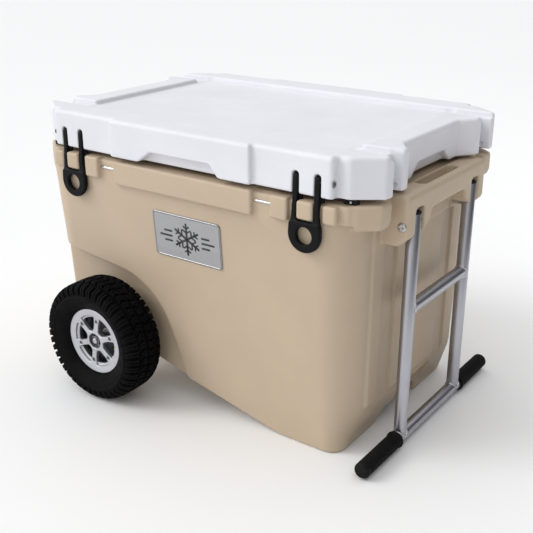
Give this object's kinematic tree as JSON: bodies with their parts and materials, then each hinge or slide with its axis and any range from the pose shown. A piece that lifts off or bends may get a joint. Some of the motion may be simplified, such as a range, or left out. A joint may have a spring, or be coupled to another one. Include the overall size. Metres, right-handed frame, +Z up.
{
  "type": "wheeled cooler",
  "caption": "Rotomoulded hard cooler with a hinged lid, stretch latches, off-road tyres on an axle, a drain plug and a swing-up tube pull handle with side grips.",
  "frame": {"origin": "middle of the whole object's footprint, on the surface that it stands on", "axes": "+X towards the pull handle end, -Y towards the latch side, +Y towards the lid hinge, +Z up"},
  "size_m": [0.7346, 0.62, 0.525],
  "materials": {
    "moulded_tan": "rotomoulded polyethylene with a fine sandy texture",
    "moulded_white": "rotomoulded polyethylene, cool white, fine texture",
    "insulation_foam": "rigid polyurethane foam",
    "black_plastic": "moulded black nylon",
    "black_rubber": "soft black rubber",
    "latch_rubber": "moulded satin black rubber",
    "grip_rubber": "ribbed matte black rubber",
    "tyre_rubber": "matte black tyre rubber with block tread",
    "handle_aluminium": "satin anodised tube",
    "rim_alloy": "silver painted alloy",
    "plate_metal": "brushed plate with a polished edge",
    "stainless": "bright stainless steel",
    "zinc_steel": "zinc plated steel"
  },
  "bodies": {
    "tub": {"tub_shell": "moulded_tan", "tub_foam": "insulation_foam", "tub_foam_plug": "black_plastic", "drain_tube": "black_plastic", "tie_bar_left": "stainless", "tie_bar_right": "stainless", "hinge_pin_left": "stainless", "hinge_pin_right": "stainless", "lid_stop_front_left": "black_rubber", "lid_stop_back_left": "black_rubber", "lid_stop_front_right": "black_rubber", "lid_stop_back_right": "black_rubber", "name_plate": "plate_metal", "axle": "zinc_steel", "axle_spacer_front": "zinc_steel", "axle_spacer_back": "zinc_steel", "axle_washer_front": "zinc_steel", "axle_washer_back": "zinc_steel", "axle_nut_front": "zinc_steel", "axle_nut_back": "zinc_steel", "pivot_bolt_front": "stainless", "pivot_bolt_back": "stainless"},
    "lid": {"lid_shell": "moulded_white", "lid_foam": "insulation_foam", "lid_foam_plug": "black_plastic", "lid_gasket": "black_rubber", "latch_pin_left": "stainless", "latch_pin_right": "stainless", "corner_pin_front_left": "stainless", "corner_pin_back_left": "stainless", "corner_pin_front_right": "stainless", "corner_pin_back_right": "stainless"},
    "latch_left": {"latch_left": "latch_rubber"},
    "latch_right": {"latch_right": "latch_rubber"},
    "handle": {"handle_leg_front": "handle_aluminium", "handle_leg_back": "handle_aluminium", "leg_plug_front": "black_plastic", "leg_plug_back": "black_plastic", "pivot_bush_front": "black_plastic", "pivot_bush_back": "black_plastic", "grip_front": "grip_rubber", "grip_back": "grip_rubber", "handle_cross_tube": "handle_aluminium", "handle_grip_tube": "handle_aluminium"},
    "wheel_front": {"tyre_front": "tyre_rubber", "inner_tube_front": "black_rubber", "rim_outer_front": "rim_alloy", "rim_inner_front": "rim_alloy", "bearing_inner_front": "zinc_steel", "bearing_outer_front": "zinc_steel"},
    "wheel_back": {"tyre_back": "tyre_rubber", "inner_tube_back": "black_rubber", "rim_outer_back": "rim_alloy", "rim_inner_back": "rim_alloy", "bearing_inner_back": "zinc_steel", "bearing_outer_back": "zinc_steel"},
    "drain_seal": {"drain_gasket": "black_rubber"},
    "drain_plug": {"drain_plug": "black_plastic"}
  },
  "joints": [
    {"name": "lid_hinge", "type": "hinge", "parent": "tub", "child": "lid", "pos_m": [-0.0073, 0.247, 0.456], "axis": [-1, 0, 0], "range_deg": [0, 95]},
    {"name": "latch_left_swing", "type": "hinge", "parent": "lid", "child": "latch_left", "pos_m": [-0.2558, -0.2396, 0.4838], "axis": [-1, 0, 0], "range_deg": [0, 100]},
    {"name": "latch_right_swing", "type": "hinge", "parent": "lid", "child": "latch_right", "pos_m": [0.2412, -0.2396, 0.4838], "axis": [-1, 0, 0], "range_deg": [0, 100]},
    {"name": "handle_swing", "type": "hinge", "parent": "tub", "child": "handle", "pos_m": [0.3517, 0, 0.405], "axis": [0, -1, 0], "range_deg": [-4, 118]},
    {"name": "wheel_front_spin", "type": "hinge", "parent": "tub", "child": "wheel_front", "pos_m": [-0.188, -0.268, 0.1143], "axis": [0, 1, 0], "continuous": true},
    {"name": "wheel_back_spin", "type": "hinge", "parent": "tub", "child": "wheel_back", "pos_m": [-0.188, 0.268, 0.1143], "axis": [0, 1, 0], "continuous": true},
    {"name": "drain_travel", "type": "slide", "parent": "tub", "child": "drain_seal", "axis": [1, 0, 0], "range_m": [0, 0.012]},
    {"name": "drain_turn", "type": "hinge", "parent": "drain_seal", "child": "drain_plug", "pos_m": [0.3027, -0.008, 0.05], "axis": [1, 0, 0], "range_deg": [0, 1440]}
  ],
  "couplings": [
    {"joint": "drain_travel", "follows": "drain_turn", "m_per_rad": 0.000477}
  ]
}
